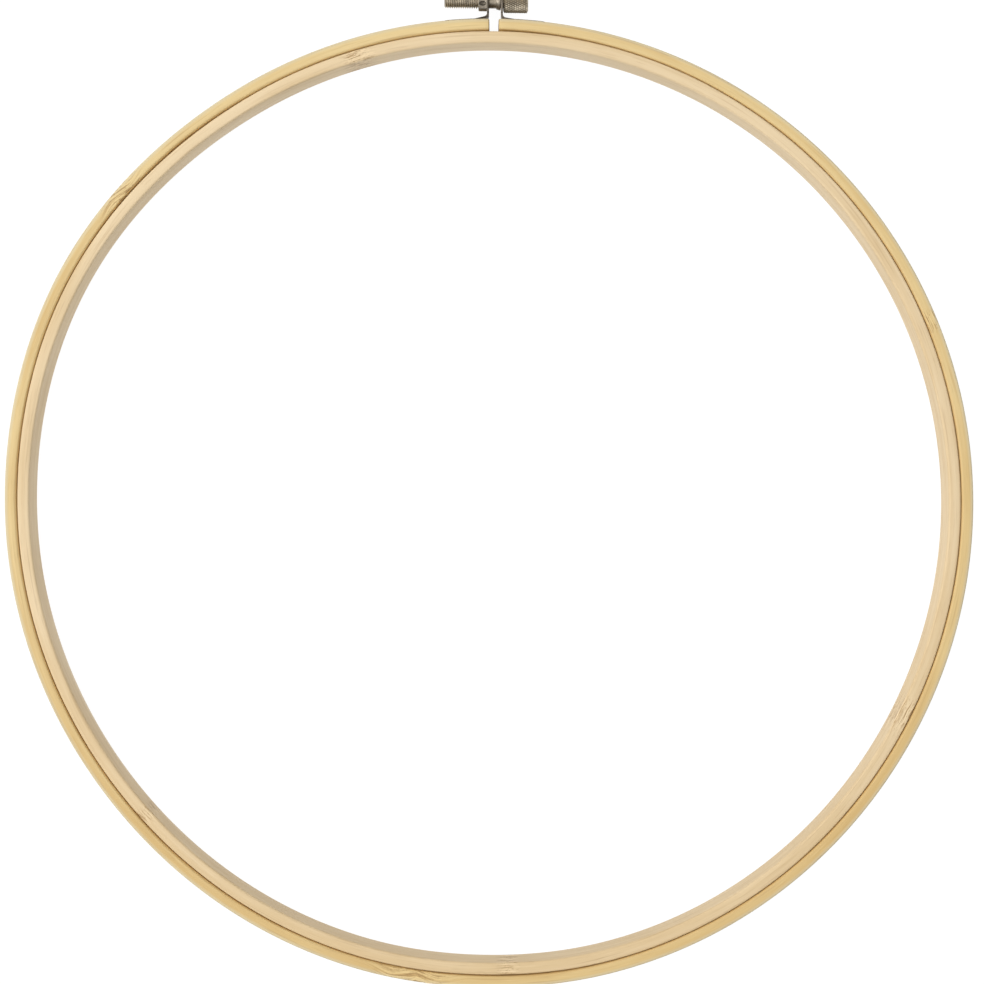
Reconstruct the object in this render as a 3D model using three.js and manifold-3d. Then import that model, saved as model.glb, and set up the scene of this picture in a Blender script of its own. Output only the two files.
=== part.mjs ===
// A 12-inch bamboo embroidery hoop, lying flat on its back face, in millimetres with +Z up.
// A closed inner ring sits inside a split outer ring. Two sheet-metal brackets are riveted to the split
// ring's ends. A knurled thumb screw turns in the screw bracket and runs in a hexagon nut, which an ear of
// the nut bracket keeps from turning, so that the screw draws the ends together or lets them spread.
// The hoop is worked out about its own centre at half its depth: the split is towards +Y, the knob +X.
import * as THREE from "three";
import { mergeVertices } from "three/addons/utils/BufferGeometryUtils.js";
import Module from "manifold-3d";

const wasm = await Module();
wasm.setup();

// Rings
const HOOP_DIAMETER = 304.8;
const HOOP_DEPTH = 10;
const OUTER_WALL = 3.65;
const INNER_WALL = 3.8;
const RING_CLEARANCE = 0.3;
const RING_EDGE = 0.6;
const END_GAP = 2.75;
const END_SLOPE = 0.1;
const RING_STEPS = 144;

// Brackets, bent from one thickness of sheet
const SHEET = 0.65;
const SEAT_GAP = 0.1;
const FACE_GAP = 0.05;
const NUT_BEND_RADIUS = 3;
const SCREW_BEND_RADIUS = 1;
const FOOT_REACH = 16.5;
const FOOT_WIDTH = 4.4;
const FOOT_CORNER = 1.8;
const UPRIGHT_SPACING = 3.75;
const UPRIGHT_CORNER = 0.5;
const UPRIGHT_OVER_SCREW = 4.5;
const SHOULDER_UNDER_SCREW = 3.85;
const SCREW_HEIGHT = 6.4;
const EAR_HEIGHT = 5.8;
const DENT_LENGTH = 2.1;
const DENT_HEIGHT = 1.4;
const DENT_DEPTH = 0.4;
const DENT_SPACING = 2.6;

// Thumb screw, with the collar that keeps it in its bracket
const THREAD_DIAMETER = 4;
const THREAD_PITCH = 0.7;
const THREAD_DEPTH = 0.4;
const THREAD_CLEARANCE = 0.2;
const TIP_CHAMFER = 0.5;
const SHANK_DIAMETER = 3.75;
const SHANK_CHAMFER = 0.2;
const PLAIN_SHANK = 4.65;
const SHANK_CLEARANCE = 0.2;
const SHANK_LENGTH = 18.65;
const KNOB_DIAMETER = 6.5;
const KNOB_LENGTH = 7.85;
const KNOB_CHAMFER = 0.4;
const KNURL_COUNT = 30;
const KNURL_ROWS = 18;
const KNURL_DEPTH = 0.22;
const SIDE_PLAY = 0.1;
const COLLAR_LENGTH = 1.4;
const COLLAR_WALL = 0.25;
const COLLAR_LIP = 0.15;

// Hexagon nut
const NUT_ACROSS_FLATS = 5;
const NUT_THICKNESS = 2.65;
const NUT_CHAMFER = 0.3;
const NUT_CLEARANCE = 0.2;

// Rivets, two to a bracket
const RIVET_SHANK = 1.6;
const RIVET_HEAD = 2.6;
const RIVET_RIM = 0.12;
const RIVET_DOME = 0.3;
const RIVET_TAIL = 2.6;
const RIVET_TAIL_DEPTH = 0.6;
const RIVET_CLEARANCE = 0.1;
const RIVET_INSET = 3.2;
const RIVET_PITCH = 5.8;

// Fineness of the round faces
const ROUND_STEPS = 24;
const SMALL_ROUND_STEPS = 16;
const THREAD_STEPS = 16;
const BEND_STEPS = 6;
const FOOT_STEPS = 8;
const DOME_STEPS = 4;
const OVERRUN = 2;
const MERGE = 1e-4;

// What follows from the sizes above
const outerRadius = HOOP_DIAMETER / 2;
const outerBoreRadius = outerRadius - OUTER_WALL;
const innerRingRadius = outerBoreRadius - RING_CLEARANCE;
const fieldRadius = innerRingRadius - INNER_WALL;
const screwY = outerRadius + SCREW_HEIGHT;
const uprightFace = UPRIGHT_SPACING / 2;
const uprightBack = uprightFace + SHEET;
const uprightTop = screwY + UPRIGHT_OVER_SCREW;
const shoulderY = screwY - SHOULDER_UNDER_SCREW;
const earLength = FACE_GAP + NUT_THICKNESS;
const threadRadius = THREAD_DIAMETER / 2;
const shankRadius = SHANK_DIAMETER / 2;
const knobRadius = KNOB_DIAMETER / 2;
const nutBoreRadius = threadRadius + THREAD_CLEARANCE;
const nutCornerRadius = NUT_ACROSS_FLATS / Math.sqrt(3);
const shankHoleRadius = Math.max(shankRadius, threadRadius) + SHANK_CLEARANCE;
const earInside = NUT_ACROSS_FLATS / 2 + NUT_CLEARANCE;
const uprightWidth = 2 * (earInside + SHEET);
const collarBoreRadius = shankRadius + SIDE_PLAY;
const collarRadius = shankHoleRadius + COLLAR_WALL;
const hoopTop = Math.max(uprightTop, screwY + knobRadius);
const centreShift = -(hoopTop - outerRadius) / 2;

const bamboo = { roughness: 0.55, metalness: 0 };
const innerBamboo = new THREE.MeshStandardMaterial({ color: 0xe6cfa2, ...bamboo });
const outerBamboo = new THREE.MeshStandardMaterial({ color: 0xe0c088, ...bamboo });
const sheetSteel = new THREE.MeshStandardMaterial({ color: 0x9a948a, roughness: 0.4, metalness: 0.9 });
const screwSteel = new THREE.MeshStandardMaterial({ color: 0x8f887c, roughness: 0.35, metalness: 0.9 });
const rivetSteel = new THREE.MeshStandardMaterial({ color: 0xa39c90, roughness: 0.4, metalness: 0.9 });

// Geometry to closed solid and back, for joining and cutting.
function solidOf(geometry) {
  const bare = geometry.clone();
  bare.deleteAttribute("normal");
  bare.deleteAttribute("uv");
  const merged = mergeVertices(bare, MERGE);
  const vertProperties = new Float32Array(merged.attributes.position.array);
  const triVerts = new Uint32Array(merged.index.array);
  return new wasm.Manifold(new wasm.Mesh({ numProp: 3, vertProperties, triVerts }));
}

function geometryOf(solid) {
  const mesh = solid.getMesh();
  const geometry = new THREE.BufferGeometry();
  geometry.setAttribute("position", new THREE.BufferAttribute(mesh.vertProperties, 3));
  geometry.setIndex(new THREE.BufferAttribute(mesh.triVerts, 1));
  geometry.computeVertexNormals();
  return geometry;
}

function piece(name, geometry, material) {
  const mesh = new THREE.Mesh(geometry, material);
  mesh.name = name;
  return mesh;
}

function points(pairs) {
  return pairs.map(([x, y]) => new THREE.Vector2(x, y));
}

// A round solid about X. Its profile is a list of [radius, x], from the axis or closed on itself.
function turned(profile, steps) {
  const lathe = new THREE.LatheGeometry(points(profile), steps);
  return lathe.rotateZ(-Math.PI / 2);
}

// A round bar about X, from one x to another.
function bar(radius, from, to, steps) {
  return turned([[0, from], [radius, from], [radius, to], [0, to]], steps);
}

// A flat outline pushed along Z, centred on z = 0.
function slab(outline, thickness) {
  const settings = { depth: thickness, bevelEnabled: false };
  return new THREE.ExtrudeGeometry(new THREE.Shape(outline), settings).translate(0, 0, -thickness / 2);
}

// A rectangle's outline with its four corners rounded.
function roundedOutline(left, right, bottom, top, radius) {
  const quarter = Math.PI / 2;
  const corners = [
    [right - radius, bottom + radius, -quarter],
    [right - radius, top - radius, 0],
    [left + radius, top - radius, quarter],
    [left + radius, bottom + radius, 2 * quarter],
  ];
  const outline = [];
  for (const [x, y, start] of corners) {
    for (let i = 0; i <= BEND_STEPS; i++) {
      const angle = start + (quarter * i) / BEND_STEPS;
      outline.push(new THREE.Vector2(x + radius * Math.cos(angle), y + radius * Math.sin(angle)));
    }
  }
  return outline;
}

// A rectangular section with its corners cut back, about its own centre.
function ringSection(width, height) {
  const x = width / 2;
  const y = height / 2;
  const cut = RING_EDGE;
  return [
    [x, cut - y], [x, y - cut], [x - cut, y], [cut - x, y],
    [-x, y - cut], [-x, cut - y], [cut - x, -y], [x - cut, -y],
  ];
}

function innerRingGeometry() {
  const middle = (innerRingRadius + fieldRadius) / 2;
  const section = ringSection(INNER_WALL, HOOP_DEPTH).map(([x, y]) => [middle + x, y]);
  const profile = points([...section, section[0]]);
  return new THREE.LatheGeometry(profile, RING_STEPS).rotateX(Math.PI / 2);
}

// The split ring's middle line, from one cut end round the back to the other.
class SplitRingPath extends THREE.Curve {
  constructor(radius, endAngle) {
    super();
    this.radius = radius;
    this.endAngle = endAngle;
  }

  getPoint(t, target = new THREE.Vector3()) {
    const angle = Math.PI / 2 + this.endAngle + t * 2 * (Math.PI - this.endAngle);
    return target.set(this.radius * Math.cos(angle), this.radius * Math.sin(angle), 0);
  }
}

function splitRing() {
  const middle = outerRadius - OUTER_WALL / 2;
  const path = new SplitRingPath(middle, Math.asin(END_GAP / 2 / outerBoreRadius));
  const outline = new THREE.Shape(points(ringSection(HOOP_DEPTH, OUTER_WALL)));
  return solidOf(new THREE.ExtrudeGeometry(outline, { steps: RING_STEPS, extrudePath: path }));
}

// A wedge that slopes one cut end back, from nothing at the bore to END_SLOPE at the outside.
function endSlopeCutter(side) {
  const edge = END_GAP / 2;
  const rise = OUTER_WALL + OVERRUN;
  const outline = points([
    [0, outerBoreRadius],
    [side * edge, outerBoreRadius],
    [side * (edge + (END_SLOPE * rise) / OUTER_WALL), outerBoreRadius + rise],
    [0, outerBoreRadius + rise],
  ]);
  return solidOf(slab(outline, HOOP_DEPTH + OVERRUN));
}

// Rivets lie along X here, with x = 0 on the outer ring's outside face.
function rivetGeometry() {
  const tailX = -OUTER_WALL + RIVET_CLEARANCE;
  const seatX = SEAT_GAP + SHEET + FACE_GAP;
  const profile = [
    [0, tailX], [RIVET_TAIL / 2, tailX], [RIVET_SHANK / 2, tailX + RIVET_TAIL_DEPTH],
    [RIVET_SHANK / 2, seatX], [RIVET_HEAD / 2, seatX],
  ];
  for (let i = 0; i <= DOME_STEPS; i++) {
    const angle = (Math.PI / 2) * (i / DOME_STEPS);
    const radius = i < DOME_STEPS ? (RIVET_HEAD / 2) * Math.cos(angle) : 0;
    profile.push([radius, seatX + RIVET_RIM + RIVET_DOME * Math.sin(angle)]);
  }
  return turned(profile, SMALL_ROUND_STEPS);
}

function rivetHole() {
  const tailX = -OUTER_WALL;
  const shank = RIVET_SHANK / 2 + RIVET_CLEARANCE;
  const tail = RIVET_TAIL / 2 + RIVET_CLEARANCE;
  const profile = [
    [0, tailX - OVERRUN], [tail, tailX - OVERRUN], [tail, tailX + RIVET_CLEARANCE],
    [shank, tailX + RIVET_TAIL_DEPTH + 2 * RIVET_CLEARANCE], [shank, OVERRUN], [0, OVERRUN],
  ];
  return turned(profile, SMALL_ROUND_STEPS);
}

// How far round from +Y the rivets of a bracket lie, nearest the split first.
function rivetAngles() {
  const first = Math.asin((FOOT_REACH - RIVET_INSET - RIVET_PITCH) / outerRadius);
  const second = Math.asin((FOOT_REACH - RIVET_INSET) / outerRadius);
  return [first, second];
}

// Places something that lies along X so that it points out of the ring, at an angle from +Y.
function onRing(side, angle) {
  const holder = new THREE.Group();
  holder.rotation.z = Math.PI / 2 - side * angle;
  return holder;
}

function rivetHoles(side) {
  return rivetAngles().map((angle) => {
    const hole = rivetHole().translate(outerRadius, 0, 0);
    return solidOf(hole.rotateZ(Math.PI / 2 - side * angle));
  });
}

function outerRingGeometry() {
  let ring = splitRing();
  for (const side of [-1, 1]) {
    ring = ring.subtract(endSlopeCutter(side));
    for (const hole of rivetHoles(side)) ring = ring.subtract(hole);
  }
  return geometryOf(ring);
}

function arc(centre, radius, from, to, steps) {
  const curve = new THREE.EllipseCurve(centre.x, centre.y, radius, radius, from, to, to < from);
  return curve.getPoints(steps);
}

// The bracket's sheet seen from the front: a foot that hugs the ring, a bend, and a straight upright.
// It is drawn for the -X side, and turned over for the other.
function sheetOutline(side, bendRadius) {
  const underFoot = outerRadius + SEAT_GAP;
  const overFoot = underFoot + SHEET;
  const bendX = -uprightBack - bendRadius;
  const toBend = overFoot + bendRadius;
  const bend = new THREE.Vector2(bendX, Math.sqrt(toBend ** 2 - bendX ** 2));
  const bendAngle = Math.atan2(bend.y, bend.x);
  const footAngle = Math.PI / 2 + Math.asin(FOOT_REACH / outerRadius);
  const middle = new THREE.Vector2(0, 0);
  const outline = [
    ...arc(middle, underFoot, footAngle, bendAngle, FOOT_STEPS),
    ...arc(bend, bendRadius + SHEET, bendAngle - Math.PI, 0, BEND_STEPS).slice(1),
    new THREE.Vector2(-uprightFace, uprightTop),
    new THREE.Vector2(-uprightBack, uprightTop),
    ...arc(bend, bendRadius, 0, bendAngle - Math.PI, BEND_STEPS),
    ...arc(middle, overFoot, bendAngle, footAngle, FOOT_STEPS).slice(1),
  ];
  return outline.map((point) => new THREE.Vector2(-side * point.x, point.y));
}

// The sheet's width: the foot, rounded at its far end only, and the upright above its two shoulders.
function blankTrim(side) {
  const ends = [-side * FOOT_CORNER, side * FOOT_REACH];
  const half = FOOT_WIDTH / 2;
  const footPlan = roundedOutline(Math.min(...ends), Math.max(...ends), -half, half, FOOT_CORNER);
  const footBottom = Math.sqrt(outerRadius ** 2 - FOOT_REACH ** 2) - OVERRUN;
  const foot = slab(footPlan, shoulderY - footBottom + OVERRUN);
  foot.rotateX(Math.PI / 2).translate(0, (shoulderY + footBottom) / 2, 0);
  const reach = uprightBack + OVERRUN;
  const wide = uprightWidth / 2;
  const upright = slab(roundedOutline(-wide, wide, shoulderY, uprightTop, UPRIGHT_CORNER), reach);
  upright.rotateY(Math.PI / 2).translate((side * reach) / 2, 0, 0);
  return solidOf(foot).add(solidOf(upright));
}

// A bracket without its ear. The screw passes through its upright with clearance.
function bracketSolid(side, bendRadius) {
  const sheet = solidOf(slab(sheetOutline(side, bendRadius), uprightWidth));
  let bracket = sheet.intersect(blankTrim(side));
  for (const hole of rivetHoles(side)) bracket = bracket.subtract(hole);
  const middle = (side * (uprightFace + uprightBack)) / 2;
  const screwHole = bar(shankHoleRadius, middle - SHEET, middle + SHEET, ROUND_STEPS);
  return bracket.subtract(solidOf(screwHole.translate(0, screwY, 0)));
}

// The nut bracket's ear, folded back over the nut's front flat, with two dents pressed in to grip it.
function earSolid() {
  const left = -uprightBack - earLength;
  const right = -(uprightFace + uprightBack) / 2;
  const box = new THREE.BoxGeometry(right - left, EAR_HEIGHT, SHEET);
  let ear = solidOf(box.translate((left + right) / 2, screwY, earInside + SHEET / 2));
  for (const offset of [-DENT_SPACING / 2, DENT_SPACING / 2]) {
    const dent = new THREE.SphereGeometry(0.5, SMALL_ROUND_STEPS, SMALL_ROUND_STEPS / 2);
    dent.scale(DENT_LENGTH, DENT_HEIGHT, 2 * DENT_DEPTH);
    dent.translate(-uprightBack - earLength / 2, screwY + offset, earInside + SHEET);
    ear = ear.subtract(solidOf(dent));
  }
  return ear;
}

function nutBracketGeometry() {
  return geometryOf(bracketSolid(-1, NUT_BEND_RADIUS).add(earSolid()));
}

function screwBracketGeometry() {
  return geometryOf(bracketSolid(1, SCREW_BEND_RADIUS));
}

function hexagon(cornerRadius) {
  const corners = [];
  for (let i = 0; i < 6; i++) {
    const angle = (Math.PI * (2 * i + 1)) / 6;
    corners.push(new THREE.Vector2(cornerRadius * Math.cos(angle), cornerRadius * Math.sin(angle)));
  }
  return corners;
}

// The nut lies along X, with x = 0 on the face against its bracket, and runs to -X.
function nutGeometry() {
  const block = slab(hexagon(nutCornerRadius), NUT_THICKNESS);
  block.rotateY(Math.PI / 2).translate(-NUT_THICKNESS / 2, 0, 0);
  const chamfered = turned([
    [0, -NUT_THICKNESS], [nutCornerRadius - NUT_CHAMFER, -NUT_THICKNESS],
    [nutCornerRadius, NUT_CHAMFER - NUT_THICKNESS], [nutCornerRadius, 0], [0, 0],
  ], ROUND_STEPS);
  const bore = bar(nutBoreRadius, -NUT_THICKNESS - OVERRUN, OVERRUN, ROUND_STEPS);
  return geometryOf(solidOf(block).intersect(solidOf(chamfered)).subtract(solidOf(bore)));
}

// Closes a loop of a mesh with a fan to a point on the axis.
function fan(loop, centre, faces) {
  loop.forEach((corner, i) => faces.push(loop[(i + 1) % loop.length], corner, centre));
}

// A right-hand V thread about X. Its rows are one crest and one root helix, sheared so that the end of
// each turn is the start of the next, and its ends are left ragged for another solid to trim.
function rawThread(from, to) {
  const turns = Math.ceil((to - from) / THREAD_PITCH) + 2;
  const rows = 2 * turns + 1;
  const start = from - THREAD_PITCH;
  const vertices = [];
  for (let row = 0; row < rows; row++) {
    const radius = row % 2 ? threadRadius - THREAD_DEPTH : threadRadius;
    for (let step = 0; step < THREAD_STEPS; step++) {
      const angle = (2 * Math.PI * step) / THREAD_STEPS;
      const x = start + THREAD_PITCH * (row / 2 + step / THREAD_STEPS);
      vertices.push(x, radius * Math.cos(angle), radius * Math.sin(angle));
    }
  }
  const at = (row, step) => (step < THREAD_STEPS ? row * THREAD_STEPS + step : (row + 2) * THREAD_STEPS);
  const faces = [];
  for (let step = 0; step < THREAD_STEPS; step++) {
    const last = step === THREAD_STEPS - 1 ? rows - 3 : rows - 1;
    for (let row = 0; row < last; row++) {
      const [a, b, c, d] = [at(row, step), at(row + 1, step), at(row, step + 1), at(row + 1, step + 1)];
      faces.push(a, c, b, b, c, d);
    }
  }
  const steps = [...Array(THREAD_STEPS).keys()];
  const lowLoop = [...steps.map((step) => at(0, step)), at(2, 0), at(1, 0)];
  const highLoop = [at(rows - 1, 0), at(rows - 3, THREAD_STEPS - 1), at(rows - 2, THREAD_STEPS - 1)];
  highLoop.push(...steps.slice(1).reverse().map((step) => at(rows - 1, step)));
  const count = vertices.length / 3;
  vertices.push(start, 0, 0, start + THREAD_PITCH * turns, 0, 0);
  fan(lowLoop, count, faces);
  fan(highLoop, count + 1, faces);
  const geometry = new THREE.BufferGeometry();
  geometry.setAttribute("position", new THREE.Float32BufferAttribute(vertices, 3));
  geometry.setIndex(faces);
  return solidOf(geometry);
}

// The knob's barrel about X, from x = 0: rows of points that are high and low in turn, which make
// small four-sided pyramids, between two plain chamfers.
function knurledKnob() {
  const around = 2 * KNURL_COUNT;
  const knurled = KNOB_LENGTH - 2 * KNOB_CHAMFER;
  const stations = [[0, knobRadius - KNOB_CHAMFER - KNURL_DEPTH, false]];
  for (let row = 0; row <= KNURL_ROWS; row++) {
    stations.push([KNOB_CHAMFER + (knurled * row) / KNURL_ROWS, knobRadius, true]);
  }
  stations.push([KNOB_LENGTH, knobRadius - KNOB_CHAMFER - KNURL_DEPTH, false]);
  const vertices = [];
  stations.forEach(([x, radius, cut], row) => {
    for (let step = 0; step < around; step++) {
      const angle = (2 * Math.PI * step) / around;
      const low = cut && (row + step) % 2 === 0;
      const reach = low ? radius - KNURL_DEPTH : radius;
      vertices.push(x, reach * Math.cos(angle), reach * Math.sin(angle));
    }
  });
  const faces = [];
  for (let row = 0; row < stations.length - 1; row++) {
    for (let step = 0; step < around; step++) {
      const next = (step + 1) % around;
      const a = row * around + step;
      const b = a + around;
      const c = row * around + next;
      const d = c + around;
      if ((row + step) % 2) faces.push(a, c, b, b, c, d);
      else faces.push(a, c, d, a, d, b);
    }
  }
  const count = vertices.length / 3;
  const steps = [...Array(around).keys()];
  vertices.push(0, 0, 0, KNOB_LENGTH, 0, 0);
  fan(steps, count, faces);
  fan(steps.map((step) => count - 1 - step), count + 1, faces);
  const geometry = new THREE.BufferGeometry();
  geometry.setAttribute("position", new THREE.Float32BufferAttribute(vertices, 3));
  geometry.setIndex(faces);
  return solidOf(geometry);
}

// The thumb screw lies along X, with x = 0 on the knob's face and the shank to -X.
function thumbScrewGeometry() {
  const root = threadRadius - THREAD_DEPTH;
  const envelope = turned([
    [0, -SHANK_LENGTH], [threadRadius - TIP_CHAMFER, -SHANK_LENGTH],
    [threadRadius, TIP_CHAMFER - SHANK_LENGTH], [threadRadius, -PLAIN_SHANK], [0, -PLAIN_SHANK],
  ], ROUND_STEPS);
  const thread = rawThread(-SHANK_LENGTH, -PLAIN_SHANK).intersect(solidOf(envelope));
  const shank = turned([
    [0, -PLAIN_SHANK - THREAD_PITCH], [root, -PLAIN_SHANK - THREAD_PITCH], [root, -PLAIN_SHANK],
    [shankRadius - SHANK_CHAMFER, -PLAIN_SHANK], [shankRadius, SHANK_CHAMFER - PLAIN_SHANK],
    [shankRadius, KNOB_CHAMFER], [0, KNOB_CHAMFER],
  ], ROUND_STEPS);
  return geometryOf(thread.add(solidOf(shank)).add(knurledKnob()));
}

// The collar tapers away from its bracket, which is at x = 0.
function collarGeometry() {
  const profile = [
    [collarBoreRadius, -COLLAR_LENGTH], [collarBoreRadius + COLLAR_LIP, -COLLAR_LENGTH],
    [collarRadius, -COLLAR_LENGTH / 6], [collarRadius, 0], [collarBoreRadius, 0],
    [collarBoreRadius, -COLLAR_LENGTH],
  ];
  return turned(profile, ROUND_STEPS);
}

function rivets(side, bracketName) {
  const names = [`${bracketName}_rivet_inner`, `${bracketName}_rivet_outer`];
  return rivetAngles().map((angle, i) => {
    const rivet = piece(names[i], rivetGeometry(), rivetSteel);
    rivet.position.x = outerRadius;
    const holder = onRing(side, angle);
    holder.add(rivet);
    return holder;
  });
}

function screwGroup() {
  const group = new THREE.Group();
  group.position.y = screwY;
  const screw = piece("thumb_screw", thumbScrewGeometry(), screwSteel);
  screw.position.x = uprightBack + SIDE_PLAY;
  const collar = piece("retaining_collar", collarGeometry(), screwSteel);
  collar.position.x = uprightFace - SIDE_PLAY;
  const nut = piece("clamp_nut", nutGeometry(), screwSteel);
  nut.position.x = -uprightBack - FACE_GAP;
  group.add(screw, collar, nut);
  return group;
}

function hoop() {
  const centre = new THREE.Group();
  centre.position.set(0, centreShift, HOOP_DEPTH / 2);
  centre.add(piece("inner_ring", innerRingGeometry(), innerBamboo));
  centre.add(piece("outer_ring", outerRingGeometry(), outerBamboo));
  centre.add(piece("nut_bracket", nutBracketGeometry(), sheetSteel));
  centre.add(piece("screw_bracket", screwBracketGeometry(), sheetSteel));
  centre.add(...rivets(-1, "nut_bracket"), ...rivets(1, "screw_bracket"));
  centre.add(screwGroup());
  const part = new THREE.Group();
  part.add(centre);
  return part;
}

export default hoop();
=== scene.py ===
from math import asin, atan, atan2, ceil, cos, degrees, pi, radians, sin, sqrt
from typing import NamedTuple

import bmesh
import bpy
from bpy.props import FloatProperty, FloatVectorProperty, IntProperty, PointerProperty
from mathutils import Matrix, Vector


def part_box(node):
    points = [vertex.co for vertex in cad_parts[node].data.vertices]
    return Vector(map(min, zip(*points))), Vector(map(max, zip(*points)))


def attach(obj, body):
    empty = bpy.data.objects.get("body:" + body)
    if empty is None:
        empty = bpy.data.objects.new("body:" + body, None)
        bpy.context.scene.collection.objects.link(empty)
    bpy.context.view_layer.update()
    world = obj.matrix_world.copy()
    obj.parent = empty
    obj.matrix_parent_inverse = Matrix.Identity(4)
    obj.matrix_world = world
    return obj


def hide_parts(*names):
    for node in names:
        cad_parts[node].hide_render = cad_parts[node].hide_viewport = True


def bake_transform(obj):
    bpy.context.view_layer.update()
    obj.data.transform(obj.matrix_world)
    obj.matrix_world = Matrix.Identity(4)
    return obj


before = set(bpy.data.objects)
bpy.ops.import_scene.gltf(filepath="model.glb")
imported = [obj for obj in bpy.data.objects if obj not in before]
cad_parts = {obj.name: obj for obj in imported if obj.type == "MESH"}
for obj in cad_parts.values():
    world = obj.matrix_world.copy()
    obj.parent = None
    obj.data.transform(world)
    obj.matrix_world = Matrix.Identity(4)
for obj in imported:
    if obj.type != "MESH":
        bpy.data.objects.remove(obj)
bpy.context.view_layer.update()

bl_info = {
    "name": "Embroidery hoop",
    "version": (1, 0, 0),
    "blender": (4, 5, 0),
    "location": "3D View > Sidebar > Hoop",
    "description": "Two bamboo rings drawn together by a thumb screw in riveted sheet brackets",
    "category": "Add Mesh",
}

# The hoop lies on its back face, in metres: its split is towards +Y and its knob towards +X.
MM = 0.001
UP = (0, 0, 1)


def box_middle(node):
    low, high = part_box(node)
    return (low + high) / 2


def box_reach(node):
    low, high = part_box(node)
    return (high - low) / 2


ring_middle = box_middle("inner_ring")
screw_axis = Vector((0, box_middle("thumb_screw").y, box_middle("thumb_screw").z))
upright_face = -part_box("nut_bracket")[1].x
upright_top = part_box("nut_bracket")[1].y
foot_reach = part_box("screw_bracket")[1].x
outer_radius = box_reach("outer_ring").x
inner_radius = box_reach("inner_ring").x
hoop_depth = 2 * ring_middle.z

# The body that each rivet rides on
RIVETS = {
    "nut_bracket_rivet_inner": "split_ring",
    "nut_bracket_rivet_outer": "split_ring",
    "screw_bracket_rivet_inner": "screw_end",
    "screw_bracket_rivet_outer": "screw_end",
}


def linear(screen_colour):
    """A screen colour of 0 to 255 as Blender's linear one."""
    values = [v / 255 for v in screen_colour]
    return [v / 12.92 if v <= 0.04045 else ((v + 0.055) / 1.055) ** 2.4 for v in values]


def length(name, default, description):
    """A size whose default is in millimetres."""
    return FloatProperty(
        name=name, default=default * MM, min=0, precision=5, unit="LENGTH", description=description
    )


def angle(name, default, description):
    """An angle whose default is in degrees."""
    return FloatProperty(
        name=name, default=radians(default), min=0, unit="ROTATION", description=description
    )


def colour(name, default, description):
    """A colour whose default is a screen colour of 0 to 255."""
    return FloatVectorProperty(
        name=name, default=linear(default), size=3, min=0, max=1, subtype="COLOR",
        description=description,
    )


class HoopRings(bpy.types.PropertyGroup):
    outer_wall: length("Outer strip", 3.65, "Thickness of the split ring's strip")
    inner_wall: length("Inner strip", 3.8, "Thickness of the closed ring's strip")
    edge: length("Rounded edge", 0.7, "Radius of the strips' sanded edges")
    end_gap: length("Split", 2.75, "Gap between the split ring's ends, at its bore")
    bore_ease: length("Bore ease", 0.3, "How far the bore stands off where it isn't quite round")
    end_shift: length("Split offset", 0.26, "How far the split lies off-centre, to the left")
    end_slope: length("End slope", 0.1, "How far each cut end leans back towards the outside")
    end_edge: length("End edge", 0.5, "Rounding of the sawn ends' edges")
    steps: IntProperty(
        name="Steps", default=360, min=48, description="Straight steps in one turn of a ring"
    )


class HoopClamp(bpy.types.PropertyGroup):
    sheet: length("Sheet", 0.65, "Thickness of the brackets' sheet")
    seat: length("Seat", 0.1, "Gap between a bracket's foot and the ring")
    bend: length("Bend", 1, "Inside radius of the brackets' bends")
    nut_lift: angle("Nut foot lift", 12, "Spring-up of the nut bracket's foot, past its rivets")
    screw_lift: angle("Screw foot lift", 6.5, "Spring-up of the screw bracket's foot")
    lift_from: length("Lift from", 6.3, "From the split's middle to where the foot lifts off")
    foot_width: length("Foot width", 4.4, "Width of a bracket's foot")
    foot_corner: length("Foot corner", 1.8, "Radius of the foot's far corners")
    shoulder: length("Shoulder", 3.85, "From the screw's axis down to the upright's shoulders")
    corner: length("Upright corner", 0.5, "Radius of the upright's and the ear's corners")
    ear_fold: length("Ear fold", 0.85, "Outside radius of the fold at the ear")
    ear_height: length("Ear", 5.8, "Height of the ear along the upright")
    hole: length("Screw hole", 2.2, "Radius of the holes that the screw passes through")
    edge: length("Sheet edge", 0.1, "Width of the worn edges of the sheet")
    thread_pitch: length("Thread pitch", 0.7, "Advance of the screw in one turn")
    thread_depth: length("Thread depth", 0.4, "From the thread's crest to its root")
    thread_radius: length("Thread radius", 2, "Radius of the thread's crest")
    shank_radius: length("Shank radius", 1.875, "Radius of the screw's plain shank")
    shank_end: length("Shank end", 2.025, "How far the plain shank runs past the split's middle")
    knurl_depth: length("Knurl depth", 0.24, "Depth of the knob's grooves")
    knurl_count: IntProperty(
        name="Knurls", default=30, min=6, description="Grooves of each hand round the knob"
    )
    knurl_rows: IntProperty(
        name="Knurl rows", default=5, min=2, description="Rows of pyramids along the knob"
    )
    rivet_shank: length("Rivet shank", 0.8, "Radius of a rivet's shank")
    rivet_dome: length("Rivet dome", 0.3, "Height of a rivet's dome above its rim")


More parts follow.
